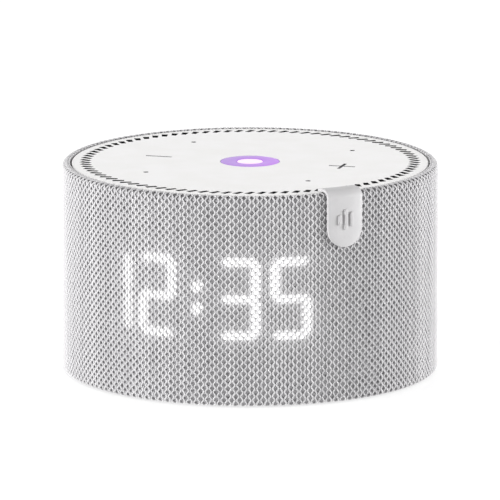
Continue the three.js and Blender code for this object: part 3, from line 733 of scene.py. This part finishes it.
@dataclass
class FabricSleeve(Assembly):
    """A knitted spacer mesh: pale yarns in waves that meet and part, over a darker lower layer that carries
    painted shade at its holes' edges and across the fold.
    """

    radius: float = 49.4
    bottom: float = 0.3
    top: float = 55.3
    lip: float = 47.1
    top_roll: float = 1.4
    lip_roll: float = 0.5
    hem_roll: float = 0.8
    wall_end: float = 1.2  # under the middle of the rim's roll
    tuck: float = 1.5  # under the middle of the lip's roll
    tightest: float = 0.06
    backing_start: float = 0.4
    yarns: int = 304
    yarn_radius: float = 0.235
    yarn_sides: int = 6
    wave: float = 0.295
    row: float = 2.0
    step: float = 0.25
    net_pieces: int = 6
    backing_depth: float = 0.85
    fold_depth: float = 0.42
    backing_columns: int = 608
    backing_step: float = 0.5
    backing_inset: float = 0.6
    shortest_run: int = 3
    seed: int = 7
    tones: Point2 = (0.25, 0.6)
    thicknesses: Point2 = (0.94, 1.06)
    clock: Clock = Clock()
    cut_out: RearCutOut = RearCutOut()

    def path(self, depth: float, step: float) -> np.ndarray:
        """The sleeve's section, at a depth under its outer surface, from the hem over the rim.

        Args:
            depth: millimetres under the surface.
            step: millimetres from point to point.

        Returns:
            Rows of radius, height and length along the path.
        """
        hem = (self.radius - self.hem_roll, self.bottom + self.hem_roll)
        rim = (self.radius - self.top_roll, self.top - self.top_roll)
        fold = min(depth, self.fold_depth)
        lip = (self.lip + self.lip_roll, self.top - self.lip_roll)
        lip_radius = max(self.lip_roll - fold, self.tightest)
        start = [(self.radius - depth, self.bottom + self.backing_start)]
        if depth < self.hem_roll:
            start = arc_points(hem, self.hem_roll - depth, -110, 0, 8)
        points = [
            *start,
            (self.radius - depth, rim[1] - self.wall_end),
            *arc_points(rim, self.top_roll - fold, 6, 90, 10),
            *arc_points(lip, lip_radius, 100, 180, 3),
            (lip[0] - lip_radius, lip[1] - self.tuck),
        ]
        corners = np.array(points)
        lengths = np.concatenate([[0], np.cumsum(np.hypot(*np.diff(corners, axis=0).T))])
        along = np.linspace(0, lengths[-1], int(lengths[-1] / step) + 1)
        radii, heights = (np.interp(along, lengths, corners[:, axis]) for axis in (0, 1))
        return np.column_stack([radii, heights, along])

    def light_at(self, azimuth: np.ndarray, height: np.ndarray) -> np.ndarray:
        """The clock's light at azimuths and heights; both arrays have one shape."""
        wrapped = (azimuth + math.pi) % math.tau - math.pi
        return self.clock.light(wrapped * self.radius, height)

    def gap_at(self, azimuth: np.ndarray, height: np.ndarray) -> np.ndarray:
        """Distance to the rear cut-out's edge, negative inside it."""
        wrapped = azimuth % math.tau - math.pi
        return self.cut_out.distance(wrapped * self.radius, height)

    def backing(self) -> bpy.types.Object:
        """The lower layer: one sheet with an opening at the rear."""
        path = self.path(self.backing_depth, self.backing_step)
        turn = np.arange(self.backing_columns + 1) * math.tau / self.backing_columns
        azimuth, height = np.meshgrid(turn[:-1], path[:, 1], indexing="ij")
        radius = np.broadcast_to(path[:, 0], azimuth.shape)
        points = np.stack([radius * np.sin(azimuth), -radius * np.cos(azimuth), height], axis=-1)
        rows = len(path)
        column, row = np.meshgrid(np.arange(self.backing_columns), np.arange(rows - 1), indexing="ij")
        middle = (column + 0.5) * math.tau / self.backing_columns
        keep = self.gap_at(middle, path[row, 1]) > -self.backing_inset
        column, row = column[keep], row[keep]
        following = (column + 1) % self.backing_columns
        near, far = column * rows + row, following * rows + row
        faces = np.column_stack([near, far, far + 1, near + 1])
        mesh = bpy.data.meshes.new("sleeve_backing")
        mesh.from_pydata(points.reshape(-1, 3) * MM, [], faces)
        piece = bpy.data.objects.new("sleeve_backing", mesh)
        bpy.context.collection.objects.link(piece)
        add_attribute(piece, "glow", self.light_at(azimuth, height).ravel())
        # painted shade across the fold over the rim: from 0 below the roll to 1 near the top
        fold_shade = smooth_step(path[:, 1], self.top - self.top_roll - 1.0, self.top - 0.5)
        add_attribute(piece, "fold_shade", np.broadcast_to(fold_shade, azimuth.shape).ravel())
        columns_per_cell = self.backing_columns / (self.yarns / 2)
        corner_column = np.column_stack([column, column + 1, column + 1, column])
        corner_row = np.column_stack([row, row, row + 1, row + 1])
        first_hole = 0.5
        across = corner_column / columns_per_cell - first_hole
        up = path[corner_row, 2] / self.row + self.phase_shift(path)
        uv = np.stack([across, up], axis=-1)
        mesh.uv_layers.new(name="cells").data.foreach_set("uv", uv.reshape(-1).astype(np.float32))
        self.drop_loose(piece)
        take(piece)
        bpy.ops.object.shade_smooth()
        return piece

    def phase_shift(self, path: np.ndarray) -> float:
        """Row units that bring a path's rows level with the heights on the wall."""
        wall = np.argmin(np.abs(path[:, 1] - self.clock.middle))
        return float((path[wall, 1] - path[wall, 2]) / self.row)

    @staticmethod
    def drop_loose(piece: bpy.types.Object) -> None:
        """Removes the vertices that no face uses."""
        take(piece)
        bpy.ops.object.mode_set(mode="EDIT")
        bpy.ops.mesh.select_all(action="SELECT")
        bpy.ops.mesh.delete_loose()
        bpy.ops.object.mode_set(mode="OBJECT")

    def yarn_run(
        self, azimuth: np.ndarray, path: np.ndarray, thickness: float
    ) -> tuple[np.ndarray, np.ndarray]:
        """A tube along one yarn.

        Args:
            azimuth: the yarn's azimuth at each point of the path.
            path: rows of radius, height and length.
            thickness: a factor on the yarn's radius.

        Returns:
            The tube's points, and its faces as rows of four.
        """
        outward = np.column_stack([np.sin(azimuth), -np.cos(azimuth), np.zeros_like(azimuth)])
        centre = outward * path[:, :1] + np.array([0, 0, 1]) * path[:, 1:2]
        tangent = np.gradient(centre, axis=0)
        tangent /= np.linalg.norm(tangent, axis=1, keepdims=True)
        slope = np.gradient(path[:, :2], axis=0)
        slope /= np.linalg.norm(slope, axis=1, keepdims=True)
        normal = outward * slope[:, 1:2] - np.array([0, 0, 1]) * slope[:, :1]
        side = np.cross(tangent, normal)
        side /= np.linalg.norm(side, axis=1, keepdims=True)
        normal = np.cross(side, tangent)
        sides = self.yarn_sides
        turn = np.arange(sides) * math.tau / sides
        reach = self.yarn_radius * thickness
        tube = (
            centre[:, None]
            + side[:, None] * (np.cos(turn) * reach)[None, :, None]
            + normal[:, None] * (np.sin(turn) * reach * 0.9)[None, :, None]
        )
        rows = np.arange(len(path) - 1)[:, None] * sides
        around, following = np.arange(sides), (np.arange(sides) + 1) % sides
        this, other = rows + around, rows + following
        walls = np.stack([this, this + sides, other + sides, other], axis=-1)
        last = (len(path) - 1) * sides
        near = np.array([[0, 1, 2, 3], [0, 3, 4, 5]])
        caps = np.concatenate([near, near[:, ::-1] + last])
        return tube.reshape(-1, 3), np.concatenate([walls.reshape(-1, 4), caps])

    def net(self, index: int, chance: np.random.Generator) -> bpy.types.Object:
        """One sector of the upper layer: neighbouring yarns wave in opposite directions.

        Args:
            index: which sector, counted from the clock's left.
            chance: gives each yarn its own tone and thickness.

        Returns:
            The sector's piece.
        """
        path = self.path(self.yarn_radius, self.step)
        phase = (path[:, 2] / self.row + self.phase_shift(path)) * math.tau
        bend = np.cos(phase)
        share = np.array_split(np.arange(self.yarns), self.net_pieces)[index]
        points, faces, tones, azimuths = [], [], [], []
        count = 0
        for yarn in share:
            swing = self.wave if yarn % 2 else -self.wave
            azimuth = (yarn + 0.5) * math.tau / self.yarns + swing * bend / path[:, 0]
            free = self.gap_at(azimuth, path[:, 1]) > self.yarn_radius
            edges = np.flatnonzero(np.diff(np.concatenate([[0], free.astype(int), [0]])))
            tone, thickness = chance.uniform(*self.tones), chance.uniform(*self.thicknesses)
            for start, end in edges.reshape(-1, 2):
                if end - start < self.shortest_run:
                    continue
                tube, walls = self.yarn_run(azimuth[start:end], path[start:end], thickness)
                points.append(tube)
                faces.append(walls + count)
                count += len(tube)
                tones.append(np.full(len(tube), tone))
                azimuths.append(np.repeat(azimuth[start:end], self.yarn_sides))
        place = np.concatenate(points)
        mesh = bpy.data.meshes.new(f"sleeve_net_{index + 1}")
        mesh.from_pydata(place * MM, [], np.concatenate(faces))
        piece = bpy.data.objects.new(mesh.name, mesh)
        bpy.context.collection.objects.link(piece)
        add_attribute(piece, "tone", np.concatenate(tones))
        add_attribute(piece, "glow", self.light_at(np.concatenate(azimuths), place[:, 2]))
        take(piece)
        bpy.ops.object.shade_smooth()
        return piece

    def build(self) -> None:
        backing = self.hand_over(self.backing(), Slot.KNIT, "fabric_sleeve", finish=BACKING)
        chance = np.random.default_rng(self.seed)
        nets = [
            self.hand_over(self.net(index, chance), Slot.KNIT, "fabric_sleeve")
            for index in range(self.net_pieces)
        ]


@dataclass
class TopPanel(Assembly):
    """The moulded touch panel: a ring of slanted vents, volume marks, and the microphones' holes."""

    top: float = 55.1
    thickness: float = 1.5
    radius: float = 46.8
    edge: float = 0.4
    skirt_outer: float = 45.6
    skirt_inner: float = 44.8
    skirt_depth: float = 3.0
    vents: int = 90
    vent_inner: float = 41.65
    vent_outer: float = 44.65
    vent_width: float = 1.75
    vent_taper: float = 0.25
    vent_skew: float = 35.0
    mark_radius: float = 25.0
    mark_span: float = 7.1
    mark_stroke: float = 0.9
    mark_depth: float = 0.4
    lens_hole: float = 7.85
    microphone: float = 21.9
    microphone_hole: float = 0.7

    def plate(self) -> bpy.types.Object:
        """The bare disc with its rounded rim and its skirt."""
        under = self.top - self.thickness
        profile = [
            (0, under), (self.skirt_inner, under), (self.skirt_inner, under - self.skirt_depth),
            (self.skirt_outer, under - self.skirt_depth), (self.skirt_outer, under), (self.radius, under),
            *arc_points((self.radius - self.edge, self.top - self.edge), self.edge, 0, 90, 5), (0, self.top),
        ]
        return turned("panel_with_vents", profile, 180, loop=False)

    def vent(self) -> bpy.types.Object:
        """The cutter of one slot: a slanted drop shape, wider at its outer end."""
        length = self.vent_outer - self.vent_inner
        middle = (self.vent_outer + self.vent_inner) / 2
        size = Vector((self.vent_width, length, 4))
        corner = self.vent_width * 0.45
        slot = rounded_block("vent_cutter", size, Vector((0, 0, self.top - 1)), corner, 2, steps=5)
        points = vertices_of(slot)
        inwards = smooth_step(points[:, 1], -length / 4, length / 2)
        points[:, 0] *= 1 - self.vent_taper * inwards
        place_vertices(slot, points)
        slot.data.transform(Matrix.Rotation(-math.radians(self.vent_skew), 4, "Z"))
        slot.data.transform(Matrix.Translation((0, -middle * MM, 0)))
        return slot

    def cutters(self) -> bpy.types.Object:
        """All that is cut out of the plate, but for the plus sign's second bar."""
        parts = [copies(self.vent(), [i * math.tau / self.vents for i in range(self.vents)])]
        parts.append(self.mark_bar(-self.mark_radius, self.mark_span, self.mark_stroke))
        parts.append(self.mark_bar(self.mark_radius, self.mark_span, self.mark_stroke))
        deselect()
        bpy.ops.mesh.primitive_cylinder_add(
            vertices=96, radius=self.lens_hole * MM, depth=4 * MM, location=(0, 0, self.top * MM)
        )
        parts.append(settle(named("lens_cutter")))
        for x, y in ((1, 1), (1, -1), (-1, 1), (-1, -1)):
            deselect()
            bpy.ops.mesh.primitive_cylinder_add(
                vertices=20, radius=self.microphone_hole * MM, depth=6 * MM,
                location=(x * self.microphone * MM, y * self.microphone * MM, self.top * MM),
            )
            parts.append(settle(named("hole_cutter")))
        return joined(parts, "panel_cutters")

    def mark_bar(self, x: float, width: float, length: float) -> bpy.types.Object:
        """The cutter of one bar of a volume mark, with rounded ends."""
        size = Vector((width, length, 2 * self.mark_depth))
        return rounded_block("mark_cutter", size, Vector((x, 0, self.top)), min(width, length) / 2 - 0.02, 2)

    def build(self) -> None:
        """Cuts the plate, and gives the floors and walls of its marks grey painted shade and the walls of its
        vents and holes black painted shade.
        """
        panel = combine(self.plate(), self.cutters(), "DIFFERENCE")
        combine(panel, self.mark_bar(self.mark_radius, self.mark_stroke, self.mark_span), "DIFFERENCE")
        clean(panel, 0.0005)
        shade(panel, 30)
        self.hand_over(panel, Slot.WHITE, "top_panel")
        # material 1: grey painted shade in the marks' recesses
        panel.data.materials.append(self.finishes.take(MARK_SHADE_GREY))
        # material 2: black painted shade on the walls of the vents and microphone holes, which are white
        # plastic in shade
        panel.data.materials.append(self.finishes.of_slot(Slot.BLACK))
        for face in panel.data.polygons:
            face.material_index = self.paint_of(face)

    def paint_of(self, face: bpy.types.MeshPolygon) -> int:
        """A face's material: 0 the plastic, 1 grey painted shade on the marks' floors and walls, 2 black
        painted shade on the walls of vents and holes.
        """
        centre, floor = face.center / MM, self.top - self.mark_depth
        reach = math.hypot(centre.x, centre.y)
        # grey painted shade on the marks' floors and walls
        if abs(reach - self.mark_radius) < 0.6 * self.mark_span and self.top - 0.01 > centre.z > floor - 0.01:
            return 1
        # black painted shade on the upright walls of the vents and microphone holes
        upright = abs(face.normal.z) < 0.3 and centre.z > self.top - self.thickness
        in_vent = self.vent_inner - 0.1 < reach < self.vent_outer + 0.1
        in_hole = abs(reach - math.sqrt(2) * self.microphone) < 1
        return 2 if upright and (in_vent or in_hole) else 0


@dataclass
class TouchLight(Assembly):
    """The lit disc in the panel's middle, and the paler light in its heart."""

    top: float = 55.1
    radius: float = 7.7
    flange: float = 8.6
    flange_top: float = 53.5
    bottom: float = 53.0
    core_radius: float = 3.4
    bore: float = 3.55
    edge: float = 0.15
    dome: float = 0.02

    def build(self) -> None:
        """Turns the lens and the core with softened edges."""
        top, edge = self.top, self.edge
        lens = turned("violet_touch_lens", [
            (self.bore, self.bottom), (self.flange, self.bottom), (self.flange, self.flange_top),
            (self.radius, self.flange_top), *arc_points((self.radius - edge, top - edge), edge, 0, 90, 4),
            *arc_points((self.bore + edge, top - edge), edge, 90, 180, 4),
        ], 96)
        core = turned("touch_lens_core", [
            (0, self.bottom), (self.core_radius, self.bottom),
            *arc_points((self.core_radius - edge, top - edge - self.dome), edge, 0, 90, 4), (0, top),
        ], 64, loop=False)
        self.hand_over(shade(lens), Slot.VIOLET, "light_lens")
        self.hand_over(shade(core), Slot.CLEAR, "light_core")


@dataclass
class LabelTab(Assembly):
    """The silicone tab that hooks over the rim, with three raised bars of rising and falling height."""

    sleeve_radius: float = 49.4
    sleeve_top: float = 55.3
    top_roll: float = 1.4
    lip: float = 46.8
    panel_top: float = 55.1
    gap: float = 0.1
    azimuth: float = 45.2
    width: float = 10.0
    foot: float = 41.1
    thickness: float = 0.7
    reach: float = 4.6
    bar_heights: tuple[float, ...] = (2.6, 5.4, 3.8)
    bar_width: float = 1.0
    bar_pitch: float = 1.7
    bar_middle: float = 48.3
    bar_rise: float = 0.4

    def hook(self) -> bpy.types.Object:
        """The tab's section turned right round the drum."""
        inner, over = self.sleeve_radius + self.gap, self.sleeve_top + self.gap
        outer, on = inner + self.thickness, self.panel_top + self.gap
        bend = (self.sleeve_radius - self.top_roll, self.sleeve_top - self.top_roll)
        roll = self.top_roll + self.gap
        reach, low, edge = self.sleeve_radius - self.reach, self.foot - 3, 0.3
        return turned("label_hook", [
            (inner, low), (outer, low),
            *arc_points(bend, roll + self.thickness, 0, 90, 10),
            (self.lip, over + self.thickness),
            *arc_points((reach + edge, on + self.thickness - edge), edge, 90, 180, 4),
            (reach, on), (self.lip, on), (self.lip, over),
            *arc_points(bend, roll, 90, 0, 10),
        ], 288)

    def outline(self) -> bpy.types.Object:
        """The tab's outline as a block that runs out from the drum, its lower end half round."""
        half, turn = self.width / 2, math.radians(self.azimuth)
        height = 2 * (self.sleeve_top + 6 - self.foot)
        middle = self.foot + height / 2
        return rounded_block(
            "label_outline", Vector((self.width, 12, height)), Vector((0, -self.sleeve_radius, middle)),
            half - 0.05, 1, turn, steps=20,
        )

    def bars(self) -> list[bpy.types.Object]:
        """The three raised bars."""
        face = self.sleeve_radius + self.gap + self.thickness
        deep, corner, turn = 0.4, self.bar_width / 2 - 0.02, math.radians(self.azimuth)
        made = []
        for index, height in enumerate(self.bar_heights):
            x = (index - 1) * self.bar_pitch
            size = Vector((self.bar_width, deep + self.bar_rise, height))
            centre = Vector((x, -(face + (self.bar_rise - deep) / 2), self.bar_middle))
            made.append(rounded_block("label_bar", size, centre, corner, 1, turn))
        return made

    def build(self) -> None:
        """Trims the hook to the outline, sets the bars on it and softens the edges."""
        tab = combine(self.hook(), self.outline(), "INTERSECT")
        clean(tab, 0.01)
        soften(tab, 0.14, 3, 50)
        for bar in self.bars():
            soften(bar, 0.1, 2)
            combine(tab, bar, "UNION")
        tab.name = "silicone_label_tab"
        self.hand_over(shade(tab, 40), Slot.SILICONE, "label_tab")


@dataclass
class RearPanel(Assembly):
    """The white plate at the rear, with the power inlet's opening and the microphones' slide switch."""

    inner: float = 47.4
    outer: float = 49.4
    width: float = 16.0
    bottom: float = 5.2
    top: float = 24.6
    corner: float = 4.0
    inlet: tuple[float, float, float] = (9.6, 3.9, 9.85)
    slot: tuple[float, float, float] = (7.6, 3.2, 19.6)
    knob_width: float = 4.0
    knob_height: float = 2.6
    knob_face: float = 49.3
    knob_back: float = 47.5
    knob_rest: float = -1.5
    stem_start: float = 45.05
    # width, far end and height of the knob's stem, and of the stem's plate on the switch
    stems: tuple[tuple[float, float, float], ...] = ((2.0, 47.6, 1.6), (4.0, 45.45, 2.6))
    grips: int = 3
    grip_pitch: float = 0.9
    grip_width: float = 0.35
    grip_depth: float = 0.2

    def plate(self) -> bpy.types.Object:
        """The curved plate, cut from a ring as high as it is."""
        middle, height = (self.bottom + self.top) / 2, self.top - self.bottom
        low, high = self.bottom - 1, self.top + 1
        band = turned(
            "rear_plate", [(self.inner, low), (self.outer, low), (self.outer, high), (self.inner, high)], 240
        )
        size, centre = Vector((self.width, 8, height)), Vector((0, -self.outer, middle))
        outline = rounded_block("plate_outline", size, centre, self.corner, 1, math.pi, steps=12)
        plate = clean(combine(band, outline, "INTERSECT"), 0.01)
        for wide, tall, z, corner in ((*self.inlet, self.inlet[1] / 2 - 0.05), (*self.slot, 0.8)):
            opening = rounded_block(
                "opening", Vector((wide, 8, tall)), Vector((0, -self.outer, z)), corner, 1, math.pi, steps=8
            )
            combine(plate, opening, "DIFFERENCE")
        clean(plate, 0.01)
        return soften(plate, 0.25, 3, 50)

    def knob(self) -> bpy.types.Object:
        """The switch's knob: a rounded block with grip ridges, on its stem and plate."""
        z = self.slot[2]
        middle = (self.knob_face + self.knob_back) / 2
        size = Vector((self.knob_width, self.knob_face - self.knob_back, self.knob_height))
        knob = rounded_block("mic_switch_knob", size, Vector((0, middle, z)), 0.5, 1, steps=5)
        for index in range(self.grips):
            x = (index - (self.grips - 1) / 2) * self.grip_pitch
            size = Vector((self.grip_width, 2 * self.grip_depth, self.knob_height + 1))
            groove = rounded_block("grip_cutter", size, Vector((x, self.knob_face, z)), 0.12, 2)
            combine(knob, groove, "DIFFERENCE")
        soften(knob, 0.08, 2)
        for wide, far, tall in self.stems:
            size = Vector((wide, far - self.stem_start, tall))
            centre = Vector((0, (self.stem_start + far) / 2, z))
            stem = rounded_block("knob_stem", size, centre, 0.15, 1, steps=2)
            combine(knob, stem, "UNION")
        knob.data.transform(Matrix.Translation((self.knob_rest * MM, 0, 0)))
        return shade(knob)

    def build(self) -> None:
        """Builds the plate and the knob."""
        self.hand_over(self.plate(), Slot.WHITE, "rear_bezel")
        self.hand_over(self.knob(), Slot.WHITE, "mic_slider", body=SWITCH)


@dataclass
class Foot(Assembly):
    """The rubber ring that the speaker stands on, with fine grooves against slipping."""

    inner: float = 33.0
    outer: float = 42.0
    height: float = 1.5
    edge: float = 0.35
    grooves: int = 5
    groove_width: float = 0.6
    groove_depth: float = 0.3

    def build(self) -> None:
        """Turns the ring with rounded lower edges and a row of grooves underneath."""
        profile: list[Point2] = [(self.inner, self.height)]
        profile += arc_points((self.inner + self.edge, self.edge), self.edge, 180, 270, 4)
        pitch = (self.outer - self.inner) / (self.grooves + 1)
        for index in range(self.grooves):
            middle, half = self.inner + pitch * (index + 1), self.groove_width / 2
            profile += [
                (middle - half, 0), (middle - half / 2, self.groove_depth),
                (middle + half / 2, self.groove_depth), (middle + half, 0),
            ]
        profile += arc_points((self.outer - self.edge, self.edge), self.edge, 270, 360, 4)
        profile.append((self.outer, self.height))
        self.hand_over(shade(turned("rubber_foot", profile, 144)), Slot.RUBBER, "foot_ring")


@dataclass
class Studio:
    """The pale floor, the soft light and the camera."""

    camera_azimuth: float = 16.0
    camera_elevation: float = 11.761
    camera_distance: float = 1708.1
    pivot_height: float = 27.0
    aim_height: float = 31.3
    lens_mm: float = 467.1
    floor_size: float = 8000.0
    surroundings: float = 0.995
    dark_side: tuple[float, float] = (40.0, 15.0)
    dark_share: float = 0.72
    light_spread: float = 22.0
    floor_colour: str = "a0a0a0"
    floor_drop: float = 0.02
    floor_glow: float = 0.72
    lights: tuple[tuple[str, float, float, float], ...] = (
        ("left_softbox", -49.0, 3.0, 5.7),
        ("right_softbox", 104.0, 3.0, 5.8),
    )

    def direction(self, azimuth: float, elevation: float) -> Vector:
        """The unit vector towards an azimuth and an elevation in degrees."""
        around, up = math.radians(azimuth), math.radians(elevation)
        return Vector((math.sin(around) * math.cos(up), -math.cos(around) * math.cos(up), math.sin(up)))

    def add_floor(self) -> None:
        """A white floor that gives off most of its light itself, so that shadows on it stay faint."""
        deselect()
        bpy.ops.mesh.primitive_plane_add(size=self.floor_size * MM, location=(0, 0, -self.floor_drop * MM))
        floor = settle(named("studio_floor"))
        material = bpy.data.materials.new("Studio_floor")
        material.use_nodes = True
        shader = material.node_tree.nodes["Principled BSDF"]
        shader.inputs["Base Color"].default_value = linear(self.floor_colour)
        shader.inputs["Roughness"].default_value = 1.0
        shader.inputs["Specular IOR Level"].default_value = 0.0
        shader.inputs["Emission Color"].default_value = linear("ffffff")
        shader.inputs["Emission Strength"].default_value = self.floor_glow
        floor.data.materials.append(material)

    def add_light(self) -> None:
        """A white surround, darker towards its front right, and two low lights at the sides."""
        world = bpy.data.worlds.new("Studio_surround")
        world.use_nodes = True
        background = world.node_tree.nodes["Background"]
        background.inputs["Color"].default_value = linear("ffffff")
        tree = world.node_tree
        place = add_node(tree, "TexCoord").outputs["Generated"]
        towards = tuple(self.direction(*self.dark_side))
        nearness = add_node(tree, "VectorMath", {"operation": "DOT_PRODUCT"}, in0=place, in1=towards)
        strength = add_node(
            tree, "MapRange", Value=nearness.outputs["Value"],
            To_Min=self.surroundings, To_Max=self.surroundings * (1 - self.dark_share),
        )
        tree.links.new(strength.outputs["Result"], background.inputs["Strength"])
        bpy.context.scene.world = world
        for name, azimuth, elevation, strength in self.lights:
            lamp = bpy.data.lights.new(name, "SUN")
            lamp.energy = strength
            lamp.angle = math.radians(self.light_spread)
            holder = bpy.data.objects.new(name, lamp)
            holder.rotation_mode = "QUATERNION"
            holder.rotation_quaternion = self.direction(azimuth, elevation).to_track_quat("Z", "Y")
            bpy.context.collection.objects.link(holder)

    def add_camera(self) -> None:
        """A long lens that looks slightly down from the clock's right."""
        lens = bpy.data.cameras.new("studio_camera")
        lens.lens = self.lens_mm
        lens.clip_start, lens.clip_end = 0.01, 100
        camera = bpy.data.objects.new("studio_camera", lens)
        towards = self.direction(self.camera_azimuth, self.camera_elevation)
        camera.location = Vector((0, 0, self.pivot_height * MM)) + towards * self.camera_distance * MM
        look = Vector((0, 0, self.aim_height * MM)) - camera.location
        camera.rotation_mode = "QUATERNION"
        camera.rotation_quaternion = look.to_track_quat("-Z", "Y")
        bpy.context.collection.objects.link(camera)
        bpy.context.scene.camera = camera

    def build(self) -> None:
        """Sets the scene up, with colours shown as they are."""
        self.add_camera()
        self.add_light()
        self.add_floor()
        bpy.context.scene.view_settings.view_transform = "Standard"


def dress_frame(frame: dict, finishes: FinishBox) -> None:
    """Gives each CAD node its slot's finish.

    Args:
        finishes: the materials.
    """
    for name, node in frame["nodes"].items():
        for index, material in enumerate(node.data.materials):
            known = [slot for slot in Slot if material.name.startswith(slot.value)]
            if not known:
                raise ValueError(f"{name} has a slot of no known finish: {material.name}")
            node.data.materials[index] = finishes.of_slot(known[0])


def main() -> None:
    """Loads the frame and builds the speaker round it."""
    logging.basicConfig(level=logging.INFO, format="%(name)s: %(message)s")
    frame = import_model()
    finishes = FinishBox()
    Studio().build()
    dress_frame(frame, finishes)
    kinds: tuple[Callable[[FinishBox], Assembly], ...] = (
        FabricSleeve, TopPanel, TouchLight, LabelTab, RearPanel, Foot,
    )
    for kind in kinds:
        kind(finishes).build()
    deselect()


if __name__ == "__main__":
    main()
